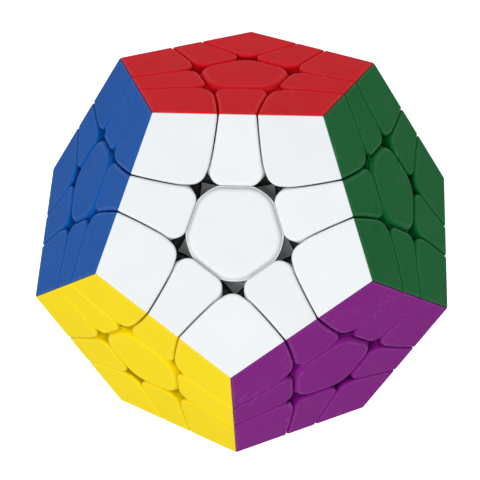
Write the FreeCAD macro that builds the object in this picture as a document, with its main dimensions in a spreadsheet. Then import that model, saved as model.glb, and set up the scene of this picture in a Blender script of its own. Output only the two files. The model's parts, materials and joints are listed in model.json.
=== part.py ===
import FreeCAD, Part
import math
import os
import Sketcher

# A twelve-sided face-turning puzzle. The origin is the middle of the core, +Z is the axis of the white
# face, and the grey face lies flat underneath. Every piece is cut out of the space round the origin by
# "layer" surfaces: one surface of revolution about the axis of each face, so that a whole layer can turn.

Vector = FreeCAD.Vector
doc = FreeCAD.newDocument("TwistyDodecahedron")

# ---------------------------------------------------------------- driving dimensions, mm and degrees

sheet = doc.addObject("Spreadsheet::Sheet", "Sizes")
drivingSizes = [
    ("inradius", 40.0, "from the middle to each face"),
    ("layerDepth", 13.9, "from a face down to the flat cut under its layer"),
    ("flatRun", 5.5, "straight part of a cut between the corner of a centre piece and its flare"),
    ("flareAngle", 26.0, "slope of the cut beyond its flat part"),
    ("flareBlend", 2.0, "radius between the flat and the sloping part of a cut"),
    ("neckAngle", 43.0, "angle from a face axis to the inner rim of its flat cut"),
    ("stalkAngle", 45.0, "half angle of the cone between stalks"),
    ("footAngle", 50.0, "half angle of the cone between feet"),
    ("stalkLength", 9.5, "from the neck down to the feet"),
    ("footHeight", 6.0, "thickness of the feet"),
    ("gap", 0.3, "space between neighbouring pieces"),
    ("wall", 1.3, "wall of the coloured shells"),
    ("neckHeight", 1.2, "bottom rim of the shells above the neck"),
    ("plugHeight", 3.5, "length of the plug that holds the shells"),
    ("fit", 0.05, "clearance between a plug and what it fits"),
    ("seam", 0.05, "joint line between two colours of one piece"),
    ("cornerRound", 3.8, "radius of the inner tips of the corner pieces"),
    ("edgeRound", 2.2, "radius of the inner ends of the edge pieces"),
    ("centreRound", 5.4, "radius of the corners of the centre pieces"),
    ("topRound", 0.55, "radius round the top of each shell"),
    ("rimRound", 0.3, "radius round the rim of a centre base"),
    ("capInset", 0.25, "step from the rim of a centre base in to its cap"),
    ("shoulderOut", 1.1, "upright round shoulder of a centre base, beyond the middle of its sides"),
    ("shoulderDepth", 9.0, "height of that shoulder below the rim"),
    ("capHeight", 1.2, "thickness of a centre cap"),
    ("capPlugHeight", 2.4, "ring under a centre cap"),
    ("capPlugWall", 1.0, "wall of that ring"),
    ("pocketDepth", 3.4, "wide pocket in the top of a centre base"),
    ("wellRadius", 3.6, "well for screw and spring in a centre base"),
    ("floorDrop", 2.0, "floor of the well below the top of the feet"),
    ("boreRadius", 1.52, "hole for the screw through a centre base"),
    ("armDrop", 2.0, "top of a core arm below the feet"),
    ("hubGap", 0.2, "space between a core arm and a centre base"),
    ("armRadius", 3.6, "arm of the core"),
    ("ballRadius", 9.0, "ball of the core"),
    ("screwRadius", 1.45, "screw shank"),
    ("screwBite", 8.0, "length of screw inside an arm"),
    ("threadFit", 0.02, "space between a screw and its hole in the arm"),
    ("headRadius", 2.6, "screw head"),
    ("headHeight", 1.4, "screw head"),
    ("slotLength", 3.2, "cross recess"),
    ("slotWidth", 0.7, "cross recess"),
    ("slotDepth", 0.8, "cross recess"),
    ("washerHeight", 0.4, "washer under the head"),
    ("washerFit", 0.1, "space between a washer and the shank"),
    ("springLength", 6.6, "spring between well floor and washer"),
    ("springRadius", 2.1, "middle of the spring wire from the axis"),
    ("wireRadius", 0.25, "spring wire"),
    ("springPitch", 1.3, "rise of one turn"),
    ("springRest", 0.02, "space at each end of a spring"),
]
for row, (alias, value, note) in enumerate(drivingSizes, start=1):
    sheet.set(f"A{row}", note)
    sheet.set(f"B{row}", str(value))
    sheet.setAlias(f"B{row}", alias)
doc.recompute()

# ---------------------------------------------------------------- sizes that follow from them, as expressions

faceCos = "(1 / sqrt(5))"  # cosine of the angle between the axes of two neighbouring faces
faceSin = "(2 / sqrt(5))"
cutHeight = "(Sizes.inradius - Sizes.layerDepth)"
neckRadius = f"({cutHeight} / cos(Sizes.neckAngle))"
footOuter = f"({neckRadius} - Sizes.stalkLength)"
footInner = f"({footOuter} - Sizes.footHeight)"
splitRadius = f"({neckRadius} + Sizes.neckHeight)"
plugTop = f"({splitRadius} + Sizes.plugHeight)"
cutOffset = f"(({cutHeight} - Sizes.inradius * {faceCos}) / {faceSin})"  # face middle to the nearest cut
centreHalfSide = f"({cutOffset} * tan(36))"  # half of one side of a centre piece
flatHalf = f"({centreHalfSide} + Sizes.flatRun)"
flareStart = f"sqrt(Sizes.inradius^2 + {cutOffset}^2 + {flatHalf}^2 - {cutHeight}^2)"
blendCentre = f"({flareStart} - Sizes.flareBlend * tan(Sizes.flareAngle / 2))"
insideReach = "(1.2 * Sizes.inradius)"  # how far the layer surfaces are drawn
outsideReach = "(2 * Sizes.inradius)"
halfGap = "Sizes.gap / 2"
innerWall = "(Sizes.gap / 2 + Sizes.wall)"
plugWall = "(Sizes.gap / 2 + Sizes.wall + Sizes.fit)"
cornerCos = f"sqrt((1 + 2 * {faceCos}) / 3)"  # between a corner's own axis and its three faces
cornerSin = f"sqrt(2 * (1 - {faceCos}) / 3)"
edgeCos = f"sqrt((1 + {faceCos}) / 2)"  # between an edge's own axis and its two faces
edgeSin = f"sqrt((1 - {faceCos}) / 2)"
cornerPost = f"({splitRadius} * {cornerCos} - {cutHeight} - {plugWall}) / {cornerSin}"
edgePost = f"({cutHeight} - {plugWall} - {plugTop} * {edgeSin}) / {edgeCos}"
rimWall = "(Sizes.gap / 2 + Sizes.capInset)"
armTop = f"({footInner} - Sizes.armDrop)"
hubBottom = f"({armTop} + Sizes.hubGap)"
wellFloor = f"({footOuter} - Sizes.floorDrop)"
rimHeight = "(Sizes.inradius - Sizes.capHeight)"
pocketRadius = f"({cutOffset} - {rimWall} - Sizes.wall)"
washerBottom = f"({wellFloor} + Sizes.springLength)"
headBottom = f"({washerBottom} + Sizes.washerHeight)"
shoulderRadius = f"({cutOffset} + Sizes.shoulderOut)"


def sizeOf(expression):
    """The number that an expression in sheet sizes has now."""
    return float(sheet.evalExpression(str(expression)))


def bind(thing, **expressions):
    """Tie properties of an object to expressions in sheet sizes."""
    for name, expression in expressions.items():
        thing.setExpression(name, expression)
    return thing


# ---------------------------------------------------------------- the twelve faces

tilt = math.acos(1 / math.sqrt(5))
upperRing = {"red": 90, "green": 18, "purple": -54, "yellow": -126, "blue": 162}
opposites = {"white": "grey", "red": "orange", "green": "lime", "purple": "pink", "yellow": "cream", "blue": "sky"}
faceAxes = {"white": Vector(0, 0, 1)}
for colour, azimuth in upperRing.items():
    turn = math.radians(azimuth)
    faceAxes[colour] = Vector(math.sin(tilt) * math.cos(turn), math.sin(tilt) * math.sin(turn), math.cos(tilt))
for colour, opposite in opposites.items():
    faceAxes[opposite] = faceAxes[colour] * -1
colours = list(faceAxes)
turningColours = ["blue", "green", "grey"]  # three faces with no piece in common


def touching(first, second):
    """Whether two faces share a border."""
    return abs(faceAxes[first].dot(faceAxes[second]) - math.cos(tilt)) < 0.01


def neighboursOf(colour):
    """The five faces around a face, in turn about its axis."""
    ring = [other for other in colours if touching(colour, other)]
    axis = faceAxes[colour]
    start = ring[0]
    ordered = [start]
    while len(ordered) < len(ring):
        last = ordered[-1]
        for other in ring:
            if other not in ordered and touching(last, other):
                if faceAxes[last].cross(faceAxes[other]).dot(axis) > 0:
                    ordered.append(other)
                    break
    return ordered


cornerFaces = []
edgeFaces = []
for colour in colours:
    ring = neighboursOf(colour)
    for place, second in enumerate(ring):
        third = ring[(place + 1) % len(ring)]
        edgeFaces.append((colour, second))
        cornerFaces.append((colour, second, third))


def placementFrom(sourceAxes, targetAxes):
    """The turn that takes one set of three directions to another."""
    source = FreeCAD.Matrix()
    target = FreeCAD.Matrix()
    for matrix, axes in ((source, sourceAxes), (target, targetAxes)):
        matrix.setCol(0, axes[0])
        matrix.setCol(1, axes[1])
        matrix.setCol(2, axes[2])
    return FreeCAD.Placement(target * source.inverse())


def facing(axis):
    """The turn that takes +Z to an axis."""
    return FreeCAD.Placement(Vector(), FreeCAD.Rotation(Vector(0, 0, 1), axis))


# ---------------------------------------------------------------- helpers for document objects


def linkTo(thing, placement, name):
    """A placed copy of an object."""
    link = doc.addObject("App::Link", name)
    link.LinkedObject = thing
    link.LinkTransform = True
    link.Placement = placement
    return link


def common(name, shapes):
    """What all the shapes share."""
    result = doc.addObject("Part::MultiCommon", name)
    result.Shapes = shapes
    return result


def fused(name, shapes):
    """All the shapes as one."""
    result = doc.addObject("Part::MultiFuse", name)
    result.Shapes = shapes
    return result


def without(name, base, tools):
    """The base with each tool cut away in turn."""
    for number, tool in enumerate(tools, start=1):
        result = doc.addObject("Part::Cut", f"{name}{number}")
        result.Base = base
        result.Tool = tool
        base = result
    return base


def ball(name, radius):
    """A sphere about the origin."""
    return bind(doc.addObject("Part::Sphere", name), Radius=radius)


def cylinder(name, radius, bottom, height):
    """A round bar on the Z axis."""
    bar = doc.addObject("Part::Cylinder", name)
    return bind(bar, **{"Radius": radius, "Height": height, "Placement.Base.z": bottom})


def halfSpace(name, axis, distance):
    """A large block that holds everything further than a distance along an axis."""
    side = "(4 * Sizes.inradius)"
    block = doc.addObject("Part::Box", name)
    bind(block, Length=side, Width=side, Height=side)
    placement = facing(axis)
    corner = placement.Rotation.multVec(Vector(-0.5, -0.5, 0))
    block.Placement = placement
    for letter, share, along in zip("xyz", corner, axis):
        block.setExpression(f"Placement.Base.{letter}", f"{side} * {share:.12f} + ({distance}) * {along:.12f}")
    return block


def closedSketch(body, name, points, arcs):
    """A closed outline in the body's XZ plane.

    points are pairs of expressions. arcs maps the number of a point to the centre and radius of the
    arc that runs from it to the next point; every other side is straight.
    """
    sketch = body.newObject("Sketcher::SketchObject", name)
    plane = next(item for item in body.Origin.OriginFeatures if item.Role == "XZ_Plane")
    sketch.AttachmentSupport = [(plane, "")]
    sketch.MapMode = "FlatFace"
    places = [Vector(sizeOf(across), sizeOf(up), 0) for across, up in points]
    count = len(points)
    ends = []
    for index, start in enumerate(places):
        finish = places[(index + 1) % count]
        if index not in arcs:
            sketch.addGeometry(Part.LineSegment(start, finish), False)
            ends.append((1, 2))
            continue
        centre = Vector(sizeOf(arcs[index][0]), sizeOf(arcs[index][1]), 0)
        circle = Part.Circle(centre, Vector(0, 0, 1), sizeOf(arcs[index][2]))
        angles = [math.atan2(point.y - centre.y, point.x - centre.x) for point in (start, finish)]
        sketch.addGeometry(Part.ArcOfCircle(circle, min(angles), max(angles)), False)
        ends.append((1, 2) if angles[0] < angles[1] else (2, 1))
    for index, (across, up) in enumerate(points):
        before = (index - 1) % count
        first = ends[index][0]
        sketch.addConstraint(Sketcher.Constraint("Coincident", before, ends[before][1], index, first))
        if across == "0":
            sketch.addConstraint(Sketcher.Constraint("PointOnObject", index, first, -2))
        else:
            wide = sketch.addConstraint(Sketcher.Constraint("DistanceX", -1, 1, index, first, places[index].x))
            sketch.setExpression(f"Constraints[{wide}]", across)
        high = sketch.addConstraint(Sketcher.Constraint("DistanceY", -1, 1, index, first, places[index].y))
        sketch.setExpression(f"Constraints[{high}]", up)
    for index, arc in arcs.items():
        bend = sketch.addConstraint(Sketcher.Constraint("Radius", index, sizeOf(arc[2])))
        sketch.setExpression(f"Constraints[{bend}]", arc[2])
    return sketch


def turned(name, points, arcs):
    """A body turned about the Z axis."""
    body = doc.addObject("PartDesign::Body", name)
    sketch = closedSketch(body, f"{name}Outline", points, arcs)
    turning = body.newObject("PartDesign::Revolution", f"{name}Turned")
    turning.Profile = sketch
    turning.ReferenceAxis = (sketch, ["V_Axis"])
    turning.Angle = 360
    return body


# ---------------------------------------------------------------- layer surfaces


def layerTool(name, offset, top, reach):
    """The space of one layer, drawn in by an offset: foot cone, ledge, stalk cone, ledge, flat and flare."""

    def onCone(angle, radius):
        along = f"sqrt(({radius})^2 - ({offset})^2)"
        return (f"{along} * sin({angle}) - ({offset}) * cos({angle})",
                f"{along} * cos({angle}) + ({offset}) * sin({angle})")

    base = f"(0.8 * {footInner} * cos(Sizes.footAngle))"
    footLedge = f"({footOuter} - ({offset}))"
    neckLedge = f"({neckRadius} - ({offset}))"
    blendRadius = f"(Sizes.flareBlend - ({offset}))"
    flat = f"({cutHeight} + ({offset}))"
    blendEnd = f"({blendCentre} + {blendRadius} * sin(Sizes.flareAngle))"
    blendTop = f"({cutHeight} + Sizes.flareBlend - {blendRadius} * cos(Sizes.flareAngle))"
    points = [
        ("0", base),
        (f"({base} * sin(Sizes.footAngle) - ({offset})) / cos(Sizes.footAngle)", base),
        onCone("Sizes.footAngle", footLedge),
        onCone("Sizes.stalkAngle", footLedge),
        onCone("Sizes.stalkAngle", neckLedge),
        (f"sqrt({neckLedge}^2 - {flat}^2)", flat),
        (blendCentre, flat),
        (blendEnd, blendTop),
        (reach, f"{blendTop} + ({reach} - {blendEnd}) * tan(Sizes.flareAngle)"),
        (reach, top),
        ("0", top),
    ]
    arcs = {
        2: ("0", "0", footLedge),
        4: ("0", "0", neckLedge),
        6: (blendCentre, f"{cutHeight} + Sizes.flareBlend", blendRadius),
    }
    return turned(name, points, arcs)


pieceTop = "Sizes.inradius"
cavityTop = "Sizes.inradius - Sizes.wall"
clearTop = "3 * Sizes.inradius"
layerTools = {
    "inside": layerTool("LayerInside", halfGap, pieceTop, insideReach),
    "insideCavity": layerTool("LayerInsideCavity", innerWall, cavityTop, insideReach),
    "outside": layerTool("LayerOutside", f"-{halfGap}", clearTop, outsideReach),
    "outsideCavity": layerTool("LayerOutsideCavity", f"-{innerWall}", clearTop, outsideReach),
    "outsideCap": layerTool("LayerOutsideCap", f"-{rimWall}", clearTop, outsideReach),
}
footBall = ball("FootBall", footInner)
shellBall = ball("ShellBall", f"{splitRadius} + Sizes.fit")
splitBall = ball("SplitBall", splitRadius)


def layer(kind, colour, owner):
    """A layer tool about the axis of a face."""
    return linkTo(layerTools[kind], facing(faceAxes[colour]), f"{owner}{kind}{colour}")


def rounding(name, firstNormal, firstDistance, secondNormal, secondDistance, radius):
    """The sliver that a rounded edge takes off where two flat cuts of a piece meet.

    The normals point out of the piece. The sliver runs along the edge and stops at the shells' bottom rim.
    """
    lean = firstNormal.dot(secondNormal)

    def meeting(first, second):
        share = 1 - lean * lean
        return firstNormal * ((first - lean * second) / share) + secondNormal * ((second - lean * first) / share)

    outward = firstNormal + secondNormal
    outward.normalize()
    along = firstNormal.cross(secondNormal)
    along.normalize()
    length = 2 * sizeOf("Sizes.inradius")
    margin = 1.0
    start = along * (-length / 2)
    centre = meeting(firstDistance - radius, secondDistance - radius) + start
    tip = meeting(firstDistance + margin, secondDistance + margin) + start
    firstTouch = centre + firstNormal * radius
    secondTouch = centre + secondNormal * radius
    sides = [
        Part.Arc(firstTouch, centre + outward * radius, secondTouch).toShape(),
        Part.makeLine(secondTouch, secondTouch + secondNormal * margin),
        Part.makeLine(secondTouch + secondNormal * margin, tip),
        Part.makeLine(tip, firstTouch + firstNormal * margin),
        Part.makeLine(firstTouch + firstNormal * margin, firstTouch),
    ]
    bar = doc.addObject("Part::Feature", f"{name}Bar")
    bar.Shape = Part.Face(Part.Wire(sides)).extrude(along * length)
    return without(name, bar, [splitBall])


def inwardRounding(name, first, second, offset, radius):
    """Rounding where a piece lies inside the layers of two faces."""
    distance = -sizeOf(f"{cutHeight} + {offset}")
    return rounding(name, faceAxes[first] * -1, distance, faceAxes[second] * -1, distance, radius)


def mixedRounding(name, inside, outside, offset, radius):
    """Rounding where a piece lies inside one layer and outside another."""
    insideDistance = -sizeOf(f"{cutHeight} + {offset}")
    outsideDistance = sizeOf(f"{cutHeight} - {offset}")
    return rounding(name, faceAxes[inside] * -1, insideDistance, faceAxes[outside], outsideDistance, radius)


def outwardRounding(name, first, second, offset, radius):
    """Rounding where a piece lies outside the layers of two faces."""
    distance = sizeOf(f"{cutHeight} - {offset}")
    return rounding(name, faceAxes[first], distance, faceAxes[second], distance, radius)


# ---------------------------------------------------------------- corner piece: three shells on a foot


def post(name, axis, radius):
    """A round plug along an axis, from inside a foot up into its shells."""
    bar = cylinder(name, radius, neckRadius, f"{plugTop} - {neckRadius}")
    return linkTo(bar, facing(axis), f"{name}Placed")


def cornerSpace(name, faces, inner, offset, radius):
    """The space of a corner piece, with its three long edges rounded."""
    pairs = [(faces[0], faces[1]), (faces[1], faces[2]), (faces[2], faces[0])]
    bars = []
    for first, second in pairs:
        bars.append(inwardRounding(f"{name}Round{first}{second}", first, second, offset, radius))
    return without(name, inner, bars)


def colourSide(name, own, other):
    """Everything on one face's side of the plane between two faces."""
    axis = faceAxes[own] - faceAxes[other]
    axis.normalize()
    return halfSpace(name, axis, "Sizes.seam / 2")


def isTopEdge(edge, colour, others):
    """Whether an edge lies on the outer face of a shell and not on a colour border."""
    axis = faceAxes[colour]
    top = sizeOf("Sizes.inradius")
    points = edge.discretize(5)
    if any(abs(point.dot(axis) - top) > 0.001 for point in points):
        return False
    for other in others:
        border = axis - faceAxes[other]
        border.normalize()
        if all(abs(point.dot(border) - sizeOf("Sizes.seam / 2")) < 0.001 for point in points):
            return False
    return True


def roundedTop(name, base, colour, others):
    """The shell with its outer face rounded all along the gaps."""
    doc.recompute()
    chosen = []
    for number, edge in enumerate(base.Shape.Edges, start=1):
        if isTopEdge(edge, colour, others):
            chosen.append((number, sizeOf("Sizes.topRound"), sizeOf("Sizes.topRound")))
    result = doc.addObject("Part::Fillet", name)
    result.Base = base
    result.Edges = chosen
    return result


cornerModel = ("white", neighboursOf("white")[0], neighboursOf("white")[1])
cornerRound = sizeOf("Sizes.cornerRound")
wall = sizeOf("Sizes.wall")
cornerSharp = common("CornerSharp", [layer("inside", colour, "Corner") for colour in cornerModel])
cornerWhole = cornerSpace("CornerSpace", cornerModel, cornerSharp, halfGap, cornerRound)
cornerInner = common("CornerInner", [layer("insideCavity", colour, "Corner") for colour in cornerModel])
cornerCavity = cornerSpace("CornerCavity", cornerModel, cornerInner, innerWall, cornerRound - wall)
cornerOuter = without("CornerOuter", cornerWhole, [shellBall])
cornerThird = common("CornerThird", [
    cornerOuter,
    colourSide("CornerSideOne", cornerModel[0], cornerModel[1]),
    colourSide("CornerSideTwo", cornerModel[0], cornerModel[2]),
])
cornerRounded = roundedTop("CornerThirdRounded", cornerThird, cornerModel[0], cornerModel[1:])
cornerShell = without("CornerShell", cornerRounded, [cornerCavity])
cornerLower = common("CornerLower", [without("CornerStem", cornerSharp, [footBall]), splitBall])
cornerAxis = faceAxes[cornerModel[0]] + faceAxes[cornerModel[1]] + faceAxes[cornerModel[2]]
cornerFoot = fused("CornerFoot", [cornerLower, post("CornerPost", cornerAxis, cornerPost)])

# ---------------------------------------------------------------- edge piece: two shells on a foot


def sharpEdgeSpace(name, faces, ends, kinds):
    """The space of an edge piece, inside two layers and outside the two at its ends."""
    inner = common(f"{name}Layers", [layer(kinds[0], colour, name) for colour in faces])
    return without(name, inner, [layer(kinds[1], colour, name) for colour in ends])


def edgeSpace(name, faces, ends, sharp, offset, radius):
    """The space of an edge piece, with its four long edges rounded."""
    tools = []
    for inside in faces:
        for outside in ends:
            tools.append(mixedRounding(f"{name}Round{inside}{outside}", inside, outside, offset, radius))
    return without(name, sharp, tools)


edgeModel = ("white", neighboursOf("white")[0])
edgeEnds = [colour for colour in colours if touching(colour, edgeModel[0]) and touching(colour, edgeModel[1])]
edgeRound = sizeOf("Sizes.edgeRound")
edgeSharp = sharpEdgeSpace("EdgeSharp", edgeModel, edgeEnds, ("inside", "outside"))
edgeWhole = edgeSpace("EdgeSpace", edgeModel, edgeEnds, edgeSharp, halfGap, edgeRound)
edgeInner = sharpEdgeSpace("EdgeInner", edgeModel, edgeEnds, ("insideCavity", "outsideCavity"))
edgeCavity = edgeSpace("EdgeCavity", edgeModel, edgeEnds, edgeInner, innerWall, edgeRound - wall)
edgeOuter = without("EdgeOuter", edgeWhole, [shellBall])
edgeHalf = common("EdgeHalf", [edgeOuter, colourSide("EdgeSide", edgeModel[0], edgeModel[1])])
edgeRounded = roundedTop("EdgeHalfRounded", edgeHalf, edgeModel[0], edgeModel[1:])
edgeShell = without("EdgeShell", edgeRounded, [edgeCavity])
edgeLower = common("EdgeLower", [without("EdgeStem", edgeSharp, [footBall]), splitBall])
edgeAxis = faceAxes[edgeModel[0]] + faceAxes[edgeModel[1]]
edgeFoot = fused("EdgeFoot", [edgeLower, post("EdgePost", edgeAxis, edgePost)])

# ---------------------------------------------------------------- centre piece: base and cap


def centreSpace(name, kind, offset, radius):
    """The space of the centre piece of the white face, outside its five neighbours' layers."""
    ring = neighboursOf("white")
    tools = [layer(kind, colour, name) for colour in ring]
    for place, first in enumerate(ring):
        second = ring[(place + 1) % len(ring)]
        tools.append(outwardRounding(f"{name}Round{first}", first, second, offset, radius))
    return without(name, layer("inside", "white", name), tools)


def beyond(name, radius, bottom):
    """Everything further than a radius from the Z axis, from a height up."""
    outer = cylinder(f"{name}Outer", "2 * Sizes.inradius", bottom, "Sizes.inradius")
    inner = cylinder(f"{name}Inner", radius, f"{bottom} - 1", "2 * Sizes.inradius")
    return without(name, outer, [inner])


def roundedRim(name, base, height, radius):
    """A centre piece with the outer edge of its flat top rounded."""
    doc.recompute()
    chosen = []
    least = sizeOf(f"{pocketRadius} + Sizes.fit")
    for number, edge in enumerate(base.Shape.Edges, start=1):
        points = edge.discretize(5)
        level = all(abs(point.z - height) < 0.001 for point in points)
        if level and all(math.hypot(point.x, point.y) > least for point in points):
            chosen.append((number, radius, radius))
    result = doc.addObject("Part::Fillet", name)
    result.Base = base
    result.Edges = chosen
    return result


centreRound = sizeOf("Sizes.centreRound")
up = Vector(0, 0, 1)
centreWhole = centreSpace("CentreSpace", "outside", halfGap, centreRound)
baseBlank = without("BaseBlank", centreWhole, [
    halfSpace("AboveRim", up, rimHeight),
    halfSpace("BelowHub", up * -1, f"-{hubBottom}"),
])
baseRounded = roundedRim("BaseRounded", baseBlank, sizeOf(rimHeight), sizeOf("Sizes.rimRound"))
centreBase = without("CentreBase", baseRounded, [
    beyond("BaseShoulder", shoulderRadius, f"{rimHeight} - Sizes.shoulderDepth"),
    cylinder("Pocket", pocketRadius, f"{rimHeight} - Sizes.pocketDepth", "2 * Sizes.pocketDepth"),
    cylinder("Well", "Sizes.wellRadius", wellFloor, "Sizes.inradius"),
    cylinder("Bore", "Sizes.boreRadius", "0", "Sizes.inradius"),
])
capSpace = centreSpace("CapSpace", "outsideCap", rimWall, sizeOf("Sizes.centreRound - Sizes.capInset"))
capBlank = common("CapBlank", [capSpace, halfSpace("CapOnly", up, rimHeight)])
capRounded = roundedRim("CapRounded", capBlank, sizeOf("Sizes.inradius"), sizeOf("Sizes.topRound"))
capRing = without("CapRing", cylinder("CapRingOuter", f"{pocketRadius} - Sizes.fit",
                                      f"{rimHeight} - Sizes.capPlugHeight",
                                      "Sizes.capPlugHeight + Sizes.capHeight / 2"), [
    cylinder("CapRingInner", f"{pocketRadius} - Sizes.fit - Sizes.capPlugWall",
             f"{rimHeight} - 2 * Sizes.capPlugHeight", "2 * Sizes.capPlugHeight"),
])
capTop = without("CapTop", capRounded, [
    beyond("CapShoulder", f"{shoulderRadius} - Sizes.capInset", f"{rimHeight} - Sizes.capHeight"),
])
centreCap = fused("CentreCap", [capTop, capRing])

# ---------------------------------------------------------------- screw, washer, spring and core

screwTip = f"({armTop} - Sizes.screwBite)"
headTop = f"({headBottom} + Sizes.headHeight)"
screwBlank = turned("ScrewBlank", [
    ("0", screwTip),
    ("Sizes.screwRadius / 2", screwTip),
    ("Sizes.screwRadius", f"{screwTip} + Sizes.screwRadius / 2"),
    ("Sizes.screwRadius", headBottom),
    ("Sizes.headRadius", headBottom),
    ("Sizes.headRadius", f"{headTop} - Sizes.headHeight / 3"),
    ("Sizes.headRadius - Sizes.headHeight / 3", headTop),
    ("0", headTop),
], {})
slots = []
for name, long, wide in (("SlotOne", "slotLength", "slotWidth"), ("SlotTwo", "slotWidth", "slotLength")):
    slot = doc.addObject("Part::Box", name)
    bind(slot, **{
        "Length": f"Sizes.{long}",
        "Width": f"Sizes.{wide}",
        "Height": "2 * Sizes.slotDepth",
        "Placement.Base.x": f"-Sizes.{long} / 2",
        "Placement.Base.y": f"-Sizes.{wide} / 2",
        "Placement.Base.z": f"{headTop} - Sizes.slotDepth",
    })
    slots.append(slot)
screw = without("Screw", screwBlank, slots)

washer = without("Washer", cylinder("WasherDisc", "Sizes.headRadius", washerBottom, "Sizes.washerHeight"), [
    cylinder("WasherHole", "Sizes.screwRadius + Sizes.washerFit", washerBottom, "2 * Sizes.washerHeight"),
])

spring = doc.addObject("PartDesign::Body", "Spring")
wireSketch = spring.newObject("Sketcher::SketchObject", "WireOutline")
wireSketch.AttachmentSupport = [(next(item for item in spring.Origin.OriginFeatures if item.Role == "XZ_Plane"), "")]
wireSketch.MapMode = "FlatFace"
springBottom = f"({wellFloor} + Sizes.springRest + Sizes.wireRadius)"
wireCentre = Vector(sizeOf("Sizes.springRadius"), sizeOf(springBottom), 0)
wireSketch.addGeometry(Part.Circle(wireCentre, Vector(0, 0, 1), sizeOf("Sizes.wireRadius")), False)
for kind, expression in (("DistanceX", "Sizes.springRadius"), ("DistanceY", springBottom)):
    number = wireSketch.addConstraint(Sketcher.Constraint(kind, -1, 1, 0, 3, sizeOf(expression)))
    wireSketch.setExpression(f"Constraints[{number}]", expression)
number = wireSketch.addConstraint(Sketcher.Constraint("Radius", 0, sizeOf("Sizes.wireRadius")))
wireSketch.setExpression(f"Constraints[{number}]", "Sizes.wireRadius")
coil = spring.newObject("PartDesign::AdditiveHelix", "Coil")
coil.Profile = wireSketch
coil.ReferenceAxis = (wireSketch, ["V_Axis"])
coil.Mode = 0
coil.Angle = 0
coil.Growth = 0
bind(coil, Pitch="Sizes.springPitch",
     Height="Sizes.springLength - 2 * Sizes.springRest - 2 * Sizes.wireRadius")

armBar = cylinder("ArmBar", "Sizes.armRadius", "0", armTop)
armHole = cylinder("ArmHole", "Sizes.screwRadius + Sizes.threadFit", f"{screwTip} - Sizes.hubGap", armTop)
arms = [linkTo(armBar, facing(faceAxes[colour]), f"Arm{colour}") for colour in colours]
holes = doc.addObject("Part::Compound", "ArmHoles")
holes.Links = [linkTo(armHole, facing(faceAxes[colour]), f"ArmHole{colour}") for colour in colours]
core = without("Core", fused("CoreSolid", [ball("CoreBall", "Sizes.ballRadius")] + arms), [holes])

# ---------------------------------------------------------------- nodes: each a group of placed pieces

nodes = {}


def addPiece(node, thing, placement):
    """Put one more copy of a piece into a node."""
    nodes.setdefault(node, []).append((thing, placement))


def layerOf(faces):
    """The turning layer that a piece belongs to, if any."""
    return next((colour for colour in turningColours if colour in faces), None)


def axesOf(faces):
    return [faceAxes[colour] for colour in faces]


def crossed(faces):
    first, second = axesOf(faces)
    return [first, second, first.cross(second)]


modelAxis = faceAxes["white"]
for colour in colours:
    first = neighboursOf(colour)[0]
    placement = placementFrom(crossed(edgeModel), crossed((colour, first)))
    addPiece(f"{colour}_centre_cap", centreCap, placement)
    own = layerOf([colour])
    addPiece(f"{own}_centre_base" if own else "centre_bases", centreBase, placement)
    addPiece("screws", screw, placement)
    addPiece("washers", washer, placement)
    addPiece("springs", spring, placement)

for faces in edgeFaces:
    own = layerOf(faces)
    placement = placementFrom(crossed(edgeModel), crossed(faces))
    if own is None:
        addPiece(f"{faces[0]}_shells", edgeShell, placement)
    elif own == faces[0]:
        addPiece(f"{own}_edge_shells", edgeShell, placement)
    else:
        addPiece(f"{own}_layer_{faces[0]}_shells", edgeShell, placement)
    if colours.index(faces[0]) < colours.index(faces[1]):
        addPiece(f"{own}_edge_feet" if own else "edge_feet", edgeFoot, placement)

for faces in cornerFaces:
    own = layerOf(faces)
    placement = placementFrom(axesOf(cornerModel), axesOf(faces))
    if own is None:
        addPiece(f"{faces[0]}_shells", cornerShell, placement)
    elif own == faces[0]:
        addPiece(f"{own}_corner_shells", cornerShell, placement)
    else:
        addPiece(f"{own}_layer_{faces[0]}_shells", cornerShell, placement)
    if colours.index(faces[0]) == min(colours.index(colour) for colour in faces):
        addPiece(f"{own}_corner_feet" if own else "corner_feet", cornerFoot, placement)

subParts = [core]
core.Label = "core"
for node, pieces in nodes.items():
    group = doc.addObject("Part::Compound", f"Group_{node}")
    group.Links = [linkTo(thing, placement, f"{node}_{number}")
                   for number, (thing, placement) in enumerate(pieces, start=1)]
    group.Label = node
    subParts.append(group)

# ---------------------------------------------------------------- checks and files

doc.recompute()
for thing in doc.Objects:
    if "Invalid" in thing.State or "Error" in thing.State:
        raise RuntimeError(f"{thing.Label} failed: {thing.State}")
for part in subParts:
    if part.Shape.isNull() or not part.Shape.isValid():
        raise RuntimeError(f"{part.Label} has no valid shape")

os.makedirs("parts", exist_ok=True)
for part in subParts:
    part.Shape.exportStep(f"parts/{part.Label}.step")
print(f"{len(subParts)} nodes, {sum(len(part.Shape.Solids) for part in subParts)} solids")
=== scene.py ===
import json
import math
import bpy
import numpy as np
from mathutils import Matrix, Vector

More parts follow.
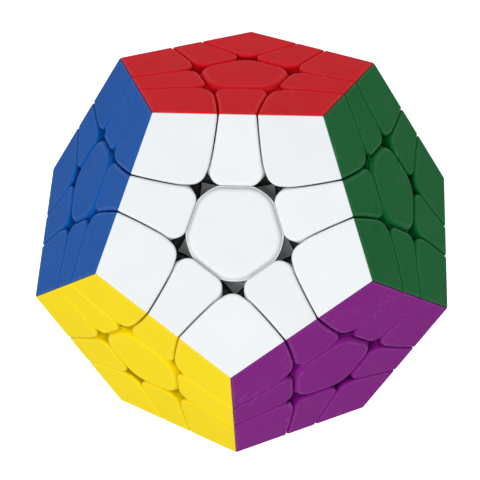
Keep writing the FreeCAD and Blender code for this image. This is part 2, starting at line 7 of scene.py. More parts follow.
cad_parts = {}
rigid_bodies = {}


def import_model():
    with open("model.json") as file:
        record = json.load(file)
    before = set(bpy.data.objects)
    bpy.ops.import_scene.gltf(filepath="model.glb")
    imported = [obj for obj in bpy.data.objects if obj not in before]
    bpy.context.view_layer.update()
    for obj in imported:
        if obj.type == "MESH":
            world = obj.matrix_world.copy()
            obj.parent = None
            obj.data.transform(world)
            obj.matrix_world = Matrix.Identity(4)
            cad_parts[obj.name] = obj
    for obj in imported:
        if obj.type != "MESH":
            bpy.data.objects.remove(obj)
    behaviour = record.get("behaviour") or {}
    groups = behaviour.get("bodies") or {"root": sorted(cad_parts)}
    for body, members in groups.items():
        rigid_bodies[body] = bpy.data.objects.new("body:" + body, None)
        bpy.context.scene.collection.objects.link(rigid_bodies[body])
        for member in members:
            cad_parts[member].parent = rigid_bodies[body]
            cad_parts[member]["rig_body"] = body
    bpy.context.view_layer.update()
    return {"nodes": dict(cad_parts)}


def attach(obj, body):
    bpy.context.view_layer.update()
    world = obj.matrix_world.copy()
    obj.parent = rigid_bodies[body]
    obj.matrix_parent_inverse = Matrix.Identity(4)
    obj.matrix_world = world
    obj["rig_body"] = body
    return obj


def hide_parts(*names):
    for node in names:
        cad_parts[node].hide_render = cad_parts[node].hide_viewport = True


# A twelve-sided face-turning puzzle. +Z is the middle of the white face and the grey face is underneath.
# The coloured mouldings are smooth closed surfaces worked out here. Feet, bases, screws, springs and core are the
# CAD nodes.

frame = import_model()
metre = 0.001  # every length in this file is in mm, and meshes are in metres
rng = np.random.default_rng(12)
print("frame loaded,", len(frame["nodes"]), "nodes")

puzzle = {
    "inradius": 40.0,        # middle to each face
    "cutHeight": 26.1,       # middle to the flat cut under each layer
    "flatRun": 2.7,          # straight part of a cut between the corner of a centre piece and its flare
    "flareAngle": 22.3,      # degrees
    "flareBlend": 2.0,
    "halfGap": 0.15,         # from a piece's side to the middle of the gap
    "halfSeam": 0.025,       # from a shell's border to the joint line between two colours
    "shellBottom": 36.94,    # the shells end on a sphere of this radius
}

moulding = {
    "topRound": 0.55,        # round the outer face of each shell
    "capRound": 0.95,        # round the outer face of each centre cap
    "borderRound": 0.22,     # along the joint line between two colours
    "cornerRound": 3.8,      # long edges of the corner pieces
    "edgeRound": 2.2,        # long edges of the edge pieces
    "centreRound": 6.3,      # corners of the centre caps
    "capGap": 0.4,           # from a cap's side to the middle of the gap
    "capShoulder": 10.02,    # upright round side that cuts the cap's corners back
    "capHeight": 1.2,
    "around": 132,           # points round one shell
}

capRing = {"outer": 7.43, "inner": 6.43, "low": 36.4, "high": 39.0, "around": 48}

hues = {  # plastic of each face, as red, green, blue out of 255
    "white": (235, 239, 241), "red": (232, 12, 30), "green": (8, 108, 50), "purple": (136, 22, 136),
    "yellow": (255, 226, 0), "blue": (4, 88, 176), "grey": (128, 130, 133), "orange": (240, 104, 14),
    "lime": (116, 190, 36), "pink": (238, 120, 160), "cream": (240, 228, 178), "sky": (116, 186, 228),
}

tilt = math.acos(1 / math.sqrt(5))
upperRing = {"red": 90, "green": 18, "purple": -54, "yellow": -126, "blue": 162}
opposites = {
    "white": "grey", "red": "orange", "green": "lime", "purple": "pink", "yellow": "cream", "blue": "sky",
}
faceAxes = {"white": np.array([0.0, 0.0, 1.0])}
for colour, azimuth in upperRing.items():
    turn = math.radians(azimuth)
    faceAxes[colour] = np.array([
        math.sin(tilt) * math.cos(turn), math.sin(tilt) * math.sin(turn), math.cos(tilt)])
for colour, opposite in opposites.items():
    faceAxes[opposite] = -faceAxes[colour]
turningColours = ["blue", "green", "grey"]


def touching(first, second):
    return abs(faceAxes[first] @ faceAxes[second] - math.cos(tilt)) < 0.01


def neighboursOf(colour):  # the five faces round a face, in turn about its axis
    ordered = [next(other for other in faceAxes if touching(colour, other))]
    while len(ordered) < 5:
        last = ordered[-1]
        ordered.append(next(other for other in faceAxes
                            if other not in ordered and touching(colour, other) and touching(last, other)
                            and np.cross(faceAxes[last], faceAxes[other]) @ faceAxes[colour] > 0))
    return ordered


def turnBetween(source, target):  # the turn that takes three directions to three others
    return np.column_stack(target) @ np.linalg.inv(np.column_stack(source))


# Distances inside a shape are positive. They take arrays of points, one row to a point.

# from the middle of a face to the line where a cut meets it
cutOffset = (puzzle["cutHeight"] - puzzle["inradius"] * math.cos(tilt)) / math.sin(tilt)
flatHalf = cutOffset * math.tan(math.radians(36)) + puzzle["flatRun"]
flareStart = math.sqrt(puzzle["inradius"] ** 2 + cutOffset ** 2 + flatHalf ** 2 - puzzle["cutHeight"] ** 2)


def layerDistance(points, axis):
    # How far inside a face's layer: the lesser of the height above the flat cut and the height above the
    # sloping cut that starts at flareStart from the axis, with an arc of flareBlend where they meet.
    slope = math.radians(puzzle["flareAngle"])
    along = points @ axis
    across = np.sqrt(np.maximum((points * points).sum(-1) - along ** 2, 0))
    flat = along - puzzle["cutHeight"]
    flared = flat * math.cos(slope) - (across - flareStart) * math.sin(slope)
    arcAcross = across - (flareStart - puzzle["flareBlend"] * math.tan(slope / 2))
    arcUp = flat - puzzle["flareBlend"]
    onArc = (arcAcross > 0) & (arcAcross * math.cos(slope) + arcUp * math.sin(slope) < 0)
    return np.where(onArc, puzzle["flareBlend"] - np.hypot(arcAcross, arcUp), np.minimum(flat, flared))


def roundingOf(first, second, lean, radius):
    # The rounding between two sides: radius less the distance from the line that lies that radius inside
    # both, and far off where the nearest point is on one side alone. lean is the cosine between their normals.
    one, two = radius - first, radius - second
    share = 1 - lean * lean
    onFirst, onSecond = (one - lean * two) / share, (two - lean * one) / share
    span = np.sqrt(np.maximum(onFirst * one + onSecond * two, 0))
    return np.where((onFirst > 0) & (onSecond > 0), radius - span, 99.0)


def roundedMeet(first, second, lean, radius):  # the two sides together with the rounding between them
    return np.minimum.reduce([first, second, roundingOf(first, second, lean, radius)])


def leanOf(distance, points, axis):  # cosine between a side's normal and an axis, from a small step along it
    step = 0.004
    return np.clip((distance(points) - distance(points + step * axis)) / step, -0.9, 0.9)


def cornerWalls(faces, radius):
    def walls(points):
        flats = [points @ faceAxes[colour] - puzzle["cutHeight"] - puzzle["halfGap"] for colour in faces]
        inside = [layerDistance(points, faceAxes[colour]) - puzzle["halfGap"] for colour in faces]
        pairs = [roundedMeet(flats[i], flats[j], math.cos(tilt), radius) for i, j in ((0, 1), (1, 2), (2, 0))]
        return np.minimum.reduce(inside + pairs)
    return walls


def edgeWalls(faces, ends, radius):
    def walls(points):
        inside = {colour: layerDistance(points, faceAxes[colour]) - puzzle["halfGap"] for colour in faces}
        outside = {colour: -layerDistance(points, faceAxes[colour]) - puzzle["halfGap"] for colour in ends}
        pairs = []
        for near in faces:
            for far in ends:
                flatNear = points @ faceAxes[near] - puzzle["cutHeight"] - puzzle["halfGap"]
                flatFar = puzzle["cutHeight"] - puzzle["halfGap"] - points @ faceAxes[far]
                pairs.append(roundingOf(flatNear, flatFar, -math.cos(tilt), radius))
        return np.minimum.reduce(list(inside.values()) + list(outside.values()) + pairs)
    return walls


def capWalls(ring, gap, radius, shoulder):
    def walls(points):
        outside = [puzzle["cutHeight"] - gap - points @ faceAxes[colour] for colour in ring]
        upright = shoulder - np.hypot(points[..., 0], points[..., 1])
        return np.minimum.reduce([roundedMeet(outside[i], outside[(i + 1) % 5], math.cos(tilt), radius)
                                  for i in range(5)] + [upright])
    return walls


def borderWalls(own, others):  # the planes half way between two faces, where one colour meets the next
    normals = [(faceAxes[own] - faceAxes[other]) / np.linalg.norm(faceAxes[own] - faceAxes[other])
               for other in others]

    def walls(points):
        sides = [points @ normal - puzzle["halfSeam"] for normal in normals]
        return sides[0] if len(sides) == 1 else roundedMeet(sides[0], sides[1], 0.5, moulding["borderRound"])
    return walls


def shellDistance(points, depth, walls, borders):
    up = faceAxes["white"]
    side = walls(points)
    topRadius = moulding["capRound" if borders is None else "topRound"]
    result = roundedMeet(depth, side, leanOf(walls, points, up), topRadius)
    if borders is not None:
        seam = borders(points)
        result = np.minimum.reduce([
            result,
            roundedMeet(depth, seam, leanOf(borders, points, up), moulding["borderRound"]),
            roundedMeet(side, seam, 0.0, moulding["borderRound"]),
            np.linalg.norm(points, axis=-1) - puzzle["shellBottom"],
        ])
    return result


def outlineReach(depths, seeds, angles, walls, borders):
    # How far the shell reaches from the seed at each depth and angle: halving between the seed, which is
    # inside, and a point 16 mm off, which is outside.
    depth = np.maximum(depths, 0.0008)[:, None] + 0 * angles[None]
    low, high = np.zeros(depth.shape), np.full(depth.shape, 16.0)
    direction = np.stack([np.cos(angles), np.sin(angles), 0 * angles], -1)[None]
    seed = np.stack([seeds[:, 0], seeds[:, 1], puzzle["inradius"] - np.maximum(depths, 0.0008)], -1)[:, None]
    for _ in range(30):
        middle = (low + high) / 2
        inside = shellDistance(seed + middle[..., None] * direction, depth, walls, borders) > 0
        low, high = np.where(inside, middle, low), np.where(inside, high, middle)
    return (low + high) / 2


def outlineAngles(seed, walls, borders, count):
    # Angles spread evenly along the outline, with extra ones where it bends.
    fine = np.linspace(0, 2 * math.pi, 2881)
    reach = outlineReach(np.array([0.5]), seed[None], fine, walls, borders)[0]
    place = np.stack([reach * np.cos(fine), reach * np.sin(fine)], -1)
    step = np.diff(place, axis=0)
    heading = np.unwrap(np.arctan2(step[:, 1], step[:, 0]))
    bend = np.abs(np.diff(heading, append=heading[-1:] + heading[1] - heading[0]))
    bend = np.convolve(np.r_[bend[-12:], bend, bend[:12]], np.ones(25) / 25, "valid")
    weight = np.r_[0, np.cumsum(np.linalg.norm(step, axis=1) + 4.5 * bend)]
    return np.interp(np.arange(count) / count * weight[-1], weight, fine)


def shellSurface(walls, borders, seedTop, seedLow, lowest, steps):
    # A closed surface on a grid of angle by row. Rows run from the seed out over the flat face, over the
    # rounding and down the sides, and close on the seed again at the lowest depth.
    angles = outlineAngles(seedTop, walls, borders, moulding["around"])
    curve = moulding["topRound"] * (1 - np.cos(np.radians([0, 12, 24, 36, 48, 60, 74, 90, 104, 118])))
    curve = curve[curve < 0.97 * lowest]
    depths = np.r_[curve, np.linspace(curve[-1], lowest, steps + 2)[1:]]
    share = (depths / lowest)[:, None]
    seeds = seedTop * (1 - share) + seedLow * share
    reach = outlineReach(depths, seeds, angles, walls, borders)
    rings = [reach[0] * 0.35, reach[0] * 0.72, reach[0] - 0.42, reach[0] - 0.12]
    ringDepths = [0.0] * len(rings)
    reach = np.vstack([rings, reach, reach[-1] * 0.5])
    depths = np.r_[ringDepths, depths, lowest]
    seeds = np.vstack([np.repeat(seedTop[None], len(rings), 0), seeds, seedLow[None]])
    x = seeds[:, :1] + reach * np.cos(angles)
    y = seeds[:, 1:] + reach * np.sin(angles)
    z = puzzle["inradius"] - depths[:, None] + 0 * reach
    grid = np.stack([x, y, z], -1).reshape(-1, 3)
    rows, count = reach.shape
    poles = np.array([[*seedTop, puzzle["inradius"]], [*seedLow, puzzle["inradius"] - lowest]])
    line = np.zeros(rows)
    # rimLine marks the rows where the painted highlight along the rim falls
    line[[len(rings) - 1, len(rings), len(rings) + 1]] = (0.35, 1.0, 0.4)
    flat = np.zeros(rows)
    flat[:len(rings)] = 1.0
    return {
        "points": np.vstack([grid, poles]),
        "quads": gridQuads(rows, count),
        "triangles": poleTriangles(rows, count),
        "flatFace": np.r_[np.repeat(flat, count), 1.0, 0.0],
        "rimLine": np.r_[np.repeat(line, count), 0.0, 0.0],
    }


def gridQuads(rows, count, looped=False):  # each row joined to the next one, closed all the way round
    row, column = np.meshgrid(np.arange(rows if looped else rows - 1), np.arange(count), indexing="ij")
    below, after = (row + 1) % rows, (column + 1) % count
    return np.stack([row * count + column, below * count + column, below * count + after,
                     row * count + after], -1).reshape(-1, 4)


def poleTriangles(rows, count):  # fans from the first row to one pole and from the last row to the other
    column = np.arange(count)
    after = (column + 1) % count
    last = (rows - 1) * count
    return np.vstack([np.stack([0 * column + rows * count, column, after], -1),
                      np.stack([0 * column + rows * count + 1, last + after, last + column], -1)])


def ringSurface(sizes):  # a plain ring: four corners of its section carried round the axis
    angles = np.arange(sizes["around"]) / sizes["around"] * 2 * math.pi
    section = np.array([[sizes["inner"], sizes["high"]], [sizes["outer"], sizes["high"]],
                        [sizes["outer"], sizes["low"]], [sizes["inner"], sizes["low"]]])
    radius, height = section[:, :1], section[:, 1:]
    grid = np.stack([radius * np.cos(angles), radius * np.sin(angles), height + 0 * angles], -1)
    grid = grid.reshape(-1, 3)
    blank = np.zeros(len(grid))
    return {"points": grid, "quads": gridQuads(4, sizes["around"], looped=True),
            "triangles": np.zeros((0, 3), int), "flatFace": blank, "rimLine": blank}


def together(parts):  # several surfaces as one
    offsets = np.cumsum([0] + [len(part["points"]) for part in parts[:-1]])
    joined = {key: np.concatenate([part[key] for part in parts])
              for key in parts[0] if key not in ("quads", "triangles")}
    for key in ("quads", "triangles"):
        joined[key] = np.concatenate([part[key] + offset for part, offset in zip(parts, offsets)])
    return joined


def placed(surface, turn, tone):
    return {**surface, "points": surface["points"] @ turn.T, "tone": np.full(len(surface["points"]), tone)}


def objectFrom(name, surface):
    corners = np.r_[surface["quads"].ravel(), surface["triangles"].ravel()].astype(np.int32)
    sizes = np.r_[np.full(len(surface["quads"]), 4), np.full(len(surface["triangles"]), 3)]
    mesh = bpy.data.meshes.new(name)
    mesh.vertices.add(len(surface["points"]))
    mesh.vertices.foreach_set("co", (surface["points"] * metre).astype(np.float32).ravel())
    mesh.loops.add(len(corners))
    mesh.loops.foreach_set("vertex_index", corners)
    mesh.polygons.add(len(sizes))
    mesh.polygons.foreach_set("loop_start", np.r_[0, np.cumsum(sizes)[:-1]].astype(np.int32))
    mesh.polygons.foreach_set("use_smooth", np.ones(len(sizes), bool))
    for key in ("flatFace", "rimLine", "tone"):
        mesh.attributes.new(key, "FLOAT", "POINT").data.foreach_set("value", surface[key].astype(np.float32))
    mesh.update(calc_edges=True)
    mesh.validate()
    thing = bpy.data.objects.new(name, mesh)
    bpy.context.scene.collection.objects.link(thing)
    return thing


ringOfWhite = neighboursOf("white")
cornerModel = ("white", ringOfWhite[0], ringOfWhite[1])
edgeModel = ("white", ringOfWhite[0])
edgeEnds = [colour for colour in faceAxes
            if touching(colour, edgeModel[0]) and touching(colour, edgeModel[1])]


def flatDirection(*names):  # a direction in the white face, towards the middle of the named neighbours
    toward = sum(faceAxes[name][:2] for name in names)
    return toward / np.linalg.norm(toward)


# Where each surface starts from, out from the middle of the face, at its top and at its lowest depth.
shellPlaces = {
    "corner": {"seedTop": 21.5, "seedLow": 22.7, "lowest": 9.9, "steps": 9},
    "edge": {"seedTop": 17.6, "seedLow": 19.4, "lowest": 7.9, "steps": 7},
}


def shellAt(kind, walls, borders, toward):
    place = shellPlaces[kind]
    return shellSurface(walls, borders, toward * place["seedTop"], toward * place["seedLow"],
                        place["lowest"], place["steps"])


cornerShell = shellAt("corner", cornerWalls(cornerModel, moulding["cornerRound"]),
                      borderWalls("white", cornerModel[1:]), flatDirection(*cornerModel[1:]))
edgeShell = shellAt("edge", edgeWalls(edgeModel, edgeEnds, moulding["edgeRound"]),
                    borderWalls("white", edgeModel[1:]), flatDirection(edgeModel[1]))
capSides = capWalls(ringOfWhite, moulding["capGap"], moulding["centreRound"], moulding["capShoulder"])
centreCap = together([
    shellSurface(capSides, None, np.zeros(2), np.zeros(2), moulding["capHeight"], 1),
    ringSurface(capRing),
])
print("shells shaped, in points:", len(cornerShell["points"]), len(edgeShell["points"]), len(centreCap["points"]))

# Shader node groups, each used by several materials.


def addNode(tree, kind, inputs=None, **settings):  # a shader node with its sockets filled or linked
    node = tree.nodes.new("ShaderNode" + kind)
    for key, value in settings.items():
        setattr(node, key, value)
    for key, value in (inputs or {}).items():
        if isinstance(value, bpy.types.NodeSocket):
            tree.links.new(value, node.inputs[key])
        else:
            node.inputs[key].default_value = value
    return node


def newGroup(name, inputs, outputs):
    tree = bpy.data.node_groups.new(name, "ShaderNodeTree")
    for key, kind, value in inputs:
        socket = tree.interface.new_socket(key, in_out="INPUT", socket_type="NodeSocket" + kind)
        if value is not None:
            socket.default_value = value
    for key, kind in outputs:
        tree.interface.new_socket(key, in_out="OUTPUT", socket_type="NodeSocket" + kind)
    return tree, tree.nodes.new("NodeGroupInput").outputs, tree.nodes.new("NodeGroupOutput").inputs


def mathNode(tree, operation, first, second=0.0, clamp=False):
    return addNode(tree, "Math", {0: first, 1: second}, operation=operation, use_clamp=clamp).outputs[0]


def rampOf(tree, value, low, high):  # 0 below low, 1 above high
    return addNode(tree, "MapRange", {"Value": value, "From Min": low, "From Max": high}).outputs["Result"]


def useGroup(tree, group, inputs):
    node = tree.nodes.new("ShaderNodeGroup")
    node.node_tree = group
    for key, value in inputs.items():
        if isinstance(value, bpy.types.NodeSocket):
            tree.links.new(value, node.inputs[key])
        else:
            node.inputs[key].default_value = value
    return node.outputs


# frosting: even fine grain as a spark-eroded mould leaves it, with a slow drift in depth
frosting, given, put = newGroup(
    "frosting", [("Position", "Vector", None), ("Grain per metre", "Float", 7000.0)],
    [("Height", "Float"), ("Drift", "Float")])
grain = addNode(frosting, "TexNoise", {
    "Vector": given["Position"], "Scale": given["Grain per metre"], "Detail": 3.0, "Roughness": 0.6})
drift = addNode(frosting, "TexNoise", {"Vector": given["Position"], "Scale": 130.0, "Detail": 2.0})
frosting.links.new(grain.outputs["Fac"], put["Height"])
frosting.links.new(rampOf(frosting, drift.outputs["Fac"], 0.3, 0.7), put["Drift"])

# specks: small round dust specks and pits, one in some of the cells of a lattice
specks, given, put = newGroup("specks", [("Position", "Vector", None), ("Cells per metre", "Float", 220.0),
                                         ("Size", "Float", 0.06), ("Share", "Float", 0.3)],
                              [("Mask", "Float"), ("Shade", "Float")])
cells = addNode(specks, "TexVoronoi", {"Vector": given["Position"], "Scale": given["Cells per metre"]})
parts = addNode(specks, "SeparateColor", {"Color": cells.outputs["Color"]})
radius = mathNode(specks, "MULTIPLY", parts.outputs["Green"], given["Size"])
spot = mathNode(specks, "LESS_THAN", cells.outputs["Distance"], radius)
chosen = mathNode(specks, "LESS_THAN", parts.outputs["Red"], given["Share"])
specks.links.new(mathNode(specks, "MULTIPLY", spot, chosen), put["Mask"])
specks.links.new(parts.outputs["Blue"], put["Shade"])

# hairlines: thin scratches in patches, where a stretched and bent noise crosses its middle value
hairlines, given, put = newGroup(
    "hairlines", [("Position", "Vector", None), ("Lines per metre", "Float", 260.0), ("Width", "Float", 0.006)],
    [("Mask", "Float")])
total = None
for turnX, turnZ, seed in ((0.4, 0.7, 1.3), (1.2, -0.5, 4.1), (-0.8, 2.1, 7.7)):
    lay = addNode(hairlines, "Mapping", {"Vector": given["Position"], "Location": (seed, seed, seed),
                                         "Rotation": (turnX, 0.3, turnZ), "Scale": (1.0, 0.06, 1.0)})
    noise = addNode(hairlines, "TexNoise", {
        "Vector": lay.outputs[0], "Scale": given["Lines per metre"], "Detail": 1.0})
    middle = mathNode(hairlines, "ABSOLUTE", mathNode(hairlines, "SUBTRACT", noise.outputs["Fac"], 0.5))
    line = mathNode(hairlines, "LESS_THAN", middle, given["Width"])
    patch = addNode(hairlines, "TexNoise", {"Vector": lay.outputs[0], "Scale": 90.0, "Detail": 0.0})
    line = mathNode(hairlines, "MULTIPLY", line, rampOf(hairlines, patch.outputs["Fac"], 0.56, 0.6))
    total = line if total is None else mathNode(hairlines, "MAXIMUM", total, line)
hairlines.links.new(total, put["Mask"])

# handling: broad soft patches where fingers have smoothed or smeared a surface
handling, given, put = newGroup(
    "handling", [("Position", "Vector", None), ("Patches per metre", "Float", 60.0)], [("Smear", "Float")])
patch = addNode(handling, "TexNoise", {"Vector": given["Position"], "Scale": given["Patches per metre"],
                                       "Detail": 5.0, "Roughness": 0.7, "Distortion": 0.6})
handling.links.new(rampOf(handling, patch.outputs["Fac"], 0.35, 0.68), put["Smear"])

# painted highlight: lighter colour that follows the line where the flat face turns into the rounding, broken up
# by a noise
rimHighlight, given, put = newGroup(
    "rimHighlight", [("Position", "Vector", None), ("Line", "Float", 0.0)], [("Mask", "Float")])
broken = addNode(rimHighlight, "TexNoise", {"Vector": given["Position"], "Scale": 900.0, "Detail": 4.0})
patchy = rampOf(rimHighlight, broken.outputs["Fac"], 0.3, 0.62)
rimHighlight.links.new(mathNode(rimHighlight, "MULTIPLY", given["Line"], patchy), put["Mask"])

# faceTint: the colour of the face that a point lies under, for mouldings of several colours in one node
faceTint, given, put = newGroup("faceTint", [("Position", "Vector", None)], [("Colour", "Color")])


def plainColour(hue, scale=1.0):  # red, green and blue out of 255, to the linear colour that nodes take
    share = np.array(hue) / 255
    linear = np.where(share <= 0.04045, share / 12.92, ((share + 0.055) / 1.055) ** 2.4)
    return (*np.clip(linear * scale, 0, 1), 1.0)


unit = addNode(faceTint, "VectorMath", {0: given["Position"]}, operation="NORMALIZE").outputs[0]
tint = None
halfWay = 0.8507  # cosine of half the angle between two neighbouring faces
for colour, axis in faceAxes.items():
    dot = addNode(faceTint, "VectorMath", {0: unit, 1: tuple(axis)}, operation="DOT_PRODUCT")
    near = mathNode(faceTint, "GREATER_THAN", dot.outputs["Value"], halfWay)
    before = tint or plainColour(hues["white"])
    mix = addNode(faceTint, "Mix", {"Factor": near, 6: before, 7: plainColour(hues[colour])}, data_type="RGBA")
    tint = mix.outputs[2]
faceTint.links.new(tint, put["Colour"])
print("node groups made:", len(bpy.data.node_groups))

shellFinish = {
    "flatRoughness": 0.46,
    "sideRoughness": 0.24,
    "flatLift": 1.0,         # brightness of the frosted face against the smooth sides
    "specular": 0.08,
    "grainDepth": 0.000012,  # metres
    "highlightLift": 0.25,        # how much lighter the painted highlight along the rim line is
}

# feet colour: the dark brown-grey shade seen deep in the gaps, used as the feet's own colour, so partly plastic
# colour and partly painted shade
footShadeFinish = {"colour": (0.085, 0.080, 0.074, 1), "roughness": 0.38, "specular": 0.4}
coreFinish = {"colour": (0.80, 0.79, 0.76, 1), "roughness": 0.4, "specular": 0.4}
steelFinish = {"colour": (0.60, 0.60, 0.61, 1), "roughness": 0.28}


def newMaterial(name):
    material = bpy.data.materials.new(name)
    material.use_nodes = True
    tree = material.node_tree
    tree.nodes.clear()
    shader = tree.nodes.new("ShaderNodeBsdfPrincipled")
    output = tree.nodes.new("ShaderNodeOutputMaterial")
    tree.links.new(shader.outputs[0], output.inputs["Surface"])
    return material, tree, shader, tree.nodes.new("ShaderNodeTexCoord").outputs["Object"]


def mixColour(tree, factor, first, second):
    node = addNode(tree, "Mix", {"Factor": factor}, data_type="RGBA")
    for index, value in ((6, first), (7, second)):
        if isinstance(value, bpy.types.NodeSocket):
            tree.links.new(value, node.inputs[index])
        else:
            node.inputs[index].default_value = value
    return node.outputs[2]


def mixValue(tree, factor, first, second):
    return addNode(tree, "Mix", {"Factor": factor, 2: first, 3: second}, data_type="FLOAT").outputs[0]


def attributeOf(tree, name):
    return addNode(tree, "Attribute", attribute_name=name).outputs["Fac"]


def shellMaterial(colour):
    material, tree, shader, position = newMaterial(f"{colour}Plastic")
    flat, line, tone = (attributeOf(tree, key) for key in ("flatFace", "rimLine", "tone"))
    frost = useGroup(tree, frosting, {"Position": position, "Grain per metre": 6500.0})
    dust = useGroup(tree, specks, {
        "Position": position, "Cells per metre": 240.0, "Size": 0.05, "Share": 0.22})
    scratch = useGroup(tree, hairlines, {"Position": position, "Lines per metre": 240.0, "Width": 0.004})
    smear = useGroup(tree, handling, {"Position": position, "Patches per metre": 55.0})
    # mask of the painted highlight along the rim line
    highlight = useGroup(tree, rimHighlight, {"Position": position, "Line": line})
    body = plainColour(hues[colour])
    frosted = plainColour(hues[colour], shellFinish["flatLift"])
    pale = tuple(min(1.0, channel * 0.75 + 0.25) for channel in body[:3]) + (1.0,)
    dark = tuple(channel * 0.55 for channel in body[:3]) + (1.0,)
    paint = mixColour(tree, flat, body, frosted)
    paint = mixColour(tree, mathNode(tree, "MULTIPLY", frost["Drift"], 0.05), paint, dark)
    # painted highlight: the rim line is mixed towards a paler colour
    paint = mixColour(tree, mathNode(tree, "MULTIPLY", highlight["Mask"], shellFinish["highlightLift"]), paint, pale)
    paint = mixColour(tree, mathNode(tree, "MULTIPLY", scratch["Mask"], 0.16), paint, pale)
    speckColour = mixColour(tree, mathNode(tree, "GREATER_THAN", dust["Shade"], 0.6), dark, pale)
    paint = mixColour(tree, mathNode(tree, "MULTIPLY", dust["Mask"], 0.5), paint, speckColour)
    bright = addNode(tree, "HueSaturation", {"Color": paint, "Value": tone}).outputs[0]
    tree.links.new(bright, shader.inputs["Base Color"])
    rough = mixValue(tree, flat, shellFinish["sideRoughness"], shellFinish["flatRoughness"])
    rough = mathNode(tree, "ADD", rough, mathNode(tree, "MULTIPLY", smear["Smear"], -0.07))
    rough = mathNode(tree, "ADD", rough, mathNode(tree, "MULTIPLY", scratch["Mask"], 0.12), clamp=True)
    tree.links.new(rough, shader.inputs["Roughness"])
    shader.inputs["Specular IOR Level"].default_value = shellFinish["specular"]
    grainHeight = mathNode(tree, "MULTIPLY", frost["Height"], mixValue(tree, flat, 0.15, 1.0))
    height = mathNode(tree, "SUBTRACT", grainHeight, mathNode(tree, "MULTIPLY", scratch["Mask"], 0.6))
    height = mathNode(tree, "ADD", height, mathNode(tree, "MULTIPLY", dust["Mask"], 0.8))
    bump = addNode(tree, "Bump", {"Strength": 0.6, "Distance": shellFinish["grainDepth"], "Height": height})
    tree.links.new(bump.outputs[0], shader.inputs["Normal"])
    return material


def smoothMaterial(name, finish, tinted=False, metallic=0.0):  # the plain mouldings and metal inside
    material, tree, shader, position = newMaterial(name)
    dust = useGroup(tree, specks, {
        "Position": position, "Cells per metre": 400.0, "Size": 0.08, "Share": 0.3})
    smear = useGroup(tree, handling, {"Position": position, "Patches per metre": 160.0})
    frost = useGroup(tree, frosting, {"Position": position, "Grain per metre": 4000.0})
    colour = useGroup(tree, faceTint, {"Position": position})["Colour"] if tinted else finish["colour"]
    paint = mixColour(tree, mathNode(tree, "MULTIPLY", smear["Smear"], 0.12), colour, (0.02, 0.018, 0.016, 1))
    paint = mixColour(tree, mathNode(tree, "MULTIPLY", dust["Mask"], 0.4), paint, (0.5, 0.48, 0.45, 1))
    tree.links.new(paint, shader.inputs["Base Color"])
    rough = mathNode(tree, "ADD", finish["roughness"], mathNode(tree, "MULTIPLY", smear["Smear"], 0.14))
    tree.links.new(rough, shader.inputs["Roughness"])
    shader.inputs["Metallic"].default_value = metallic
    shader.inputs["Specular IOR Level"].default_value = finish.get("specular", 0.5)
    bump = addNode(tree, "Bump", {"Strength": 0.5, "Distance": 0.00001, "Height": frost["Height"]})
    tree.links.new(bump.outputs[0], shader.inputs["Normal"])
    return material


shellMaterials = {colour: shellMaterial(colour) for colour in faceAxes}
baseMaterial = smoothMaterial("centreBasePlastic", {"roughness": 0.3, "specular": 0.12}, tinted=True)
# feet material carries the painted shade colour of the deep gaps
footShadeMaterial = smoothMaterial("footPlasticWithPaintedShade", footShadeFinish)
coreMaterial = smoothMaterial("corePlastic", coreFinish)
steelMaterial = smoothMaterial("zincPlatedSteel", steelFinish, metallic=1.0)
print("materials made:", len(bpy.data.materials))

# The mouldings, one object to a node of the frame.

nodeParts = {}


def layerOf(faces):
    return next((colour for colour in turningColours if colour in faces), None)


def shellNode(kind, faces):
    own = layerOf(faces)
    if own is None:
        return f"{faces[0]}_shells"
    return f"{own}_{kind}_shells" if own == faces[0] else f"{own}_layer_{faces[0]}_shells"


def addTile(node, surface, turn):
    nodeParts.setdefault(node, []).append(placed(surface, turn, 1.0 + rng.uniform(-0.02, 0.02)))


def crossed(first, second):
    return [faceAxes[first], faceAxes[second], np.cross(faceAxes[first], faceAxes[second])]


for colour in faceAxes:
    ring = neighboursOf(colour)
    addTile(f"{colour}_centre_cap", centreCap, turnBetween(crossed(*edgeModel), crossed(colour, ring[0])))
    for second, third in zip(ring, ring[1:] + ring[:1]):
        addTile(shellNode("edge", (colour, second)), edgeShell,
                turnBetween(crossed(*edgeModel), crossed(colour, second)))
        addTile(shellNode("corner", (colour, second, third)), cornerShell,
                turnBetween([faceAxes[name] for name in cornerModel],
                            [faceAxes[name] for name in (colour, second, third)]))

bodyOf = {node: thing["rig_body"] for node, thing in frame["nodes"].items()}


def hueOf(node):
    return node.split("_layer_")[-1].split("_")[0]


for node, parts in nodeParts.items():
    thing = objectFrom(f"{node}_moulded", together(parts))
    thing.data.materials.append(shellMaterials[hueOf(node)])
    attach(thing, bodyOf[node])
    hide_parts(node)
print("mouldings placed:", len(nodeParts))

for node, thing in frame["nodes"].items():
    if node in nodeParts:
        continue
    thing.data.materials.clear()
    if node in ("screws", "washers", "springs"):
        thing.data.materials.append(steelMaterial)
    elif node == "core":
        thing.data.materials.append(coreMaterial)
    elif node.endswith("_feet"):
        thing.data.materials.append(footShadeMaterial)
    else:
        thing.data.materials.append(baseMaterial)
print("inner nodes finished")

# Floor, light and camera.

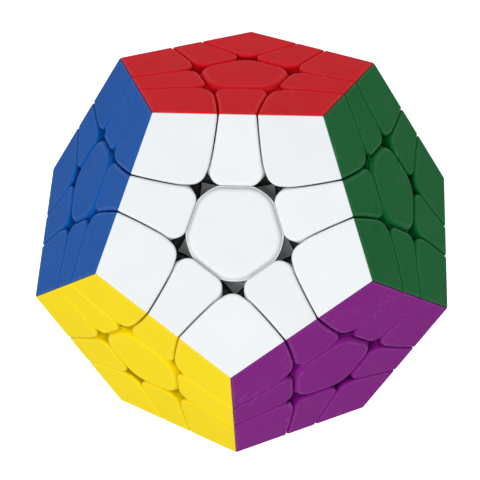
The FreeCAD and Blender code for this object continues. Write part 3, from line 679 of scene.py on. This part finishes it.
studio = {
    "floorSize": 3.0,        # metres
    "floorHeight": -0.0401,  # just under the grey face
    "floorBase": (0.42, 0.42, 0.42, 1),
    "skyStrength": 0.68,
    "keyPower": 4.2,
    "keySize": 0.7,
    "keyPlace": (-0.25, -0.35, 0.85),
    "lens": 116.49,
    "cameraPlace": (0.01810, -0.00710, 0.36203),
    "cameraTurn": (-0.0177, -0.0522, -0.0259),  # axis times angle, from the world to the camera
}

half = studio["floorSize"] / 2
floorMesh = bpy.data.meshes.new("floor")
low = studio["floorHeight"]
floorMesh.from_pydata([(-half, -half, low), (half, -half, low), (half, half, low), (-half, half, low)],
                      [], [(0, 1, 2, 3)])
floor = bpy.data.objects.new("floor", floorMesh)
bpy.context.scene.collection.objects.link(floor)
floorMaterial, tree, shader, position = newMaterial("paleFloor")
shader.inputs["Base Color"].default_value = studio["floorBase"]
shader.inputs["Roughness"].default_value = 0.9
shader.inputs["Emission Color"].default_value = (1, 1, 1, 1)
tree.links.new(addNode(tree, "LightPath").outputs["Is Camera Ray"], shader.inputs["Emission Strength"])
floorMesh.materials.append(floorMaterial)

world = bpy.data.worlds.new("studioSky")
bpy.context.scene.world = world
world.use_nodes = True
sky = world.node_tree
background = sky.nodes["Background"]
background.inputs["Color"].default_value = (1, 1, 1, 1)
seen = addNode(sky, "LightPath").outputs["Is Camera Ray"]
sky.links.new(mixValue(sky, seen, studio["skyStrength"], 1.0), background.inputs["Strength"])

key = bpy.data.lights.new("softbox", "AREA")
key.energy = studio["keyPower"]
key.size = studio["keySize"]
keyThing = bpy.data.objects.new("softbox", key)
keyThing.location = studio["keyPlace"]
keyThing.rotation_euler = (-Vector(studio["keyPlace"])).to_track_quat("-Z", "Y").to_euler()
bpy.context.scene.collection.objects.link(keyThing)

cameraData = bpy.data.cameras.new("camera")
cameraData.sensor_width = 36.0
cameraData.lens = studio["lens"]
cameraData.clip_start = 0.01
camera = bpy.data.objects.new("camera", cameraData)
bpy.context.scene.collection.objects.link(camera)
turn = Vector(studio["cameraTurn"])
camera.matrix_world = (Matrix.Translation(studio["cameraPlace"])
                       @ Matrix.Rotation(turn.length, 4, turn.normalized()).transposed())
bpy.context.scene.camera = camera
bpy.context.scene.view_settings.view_transform = "Standard"
print("stage set")
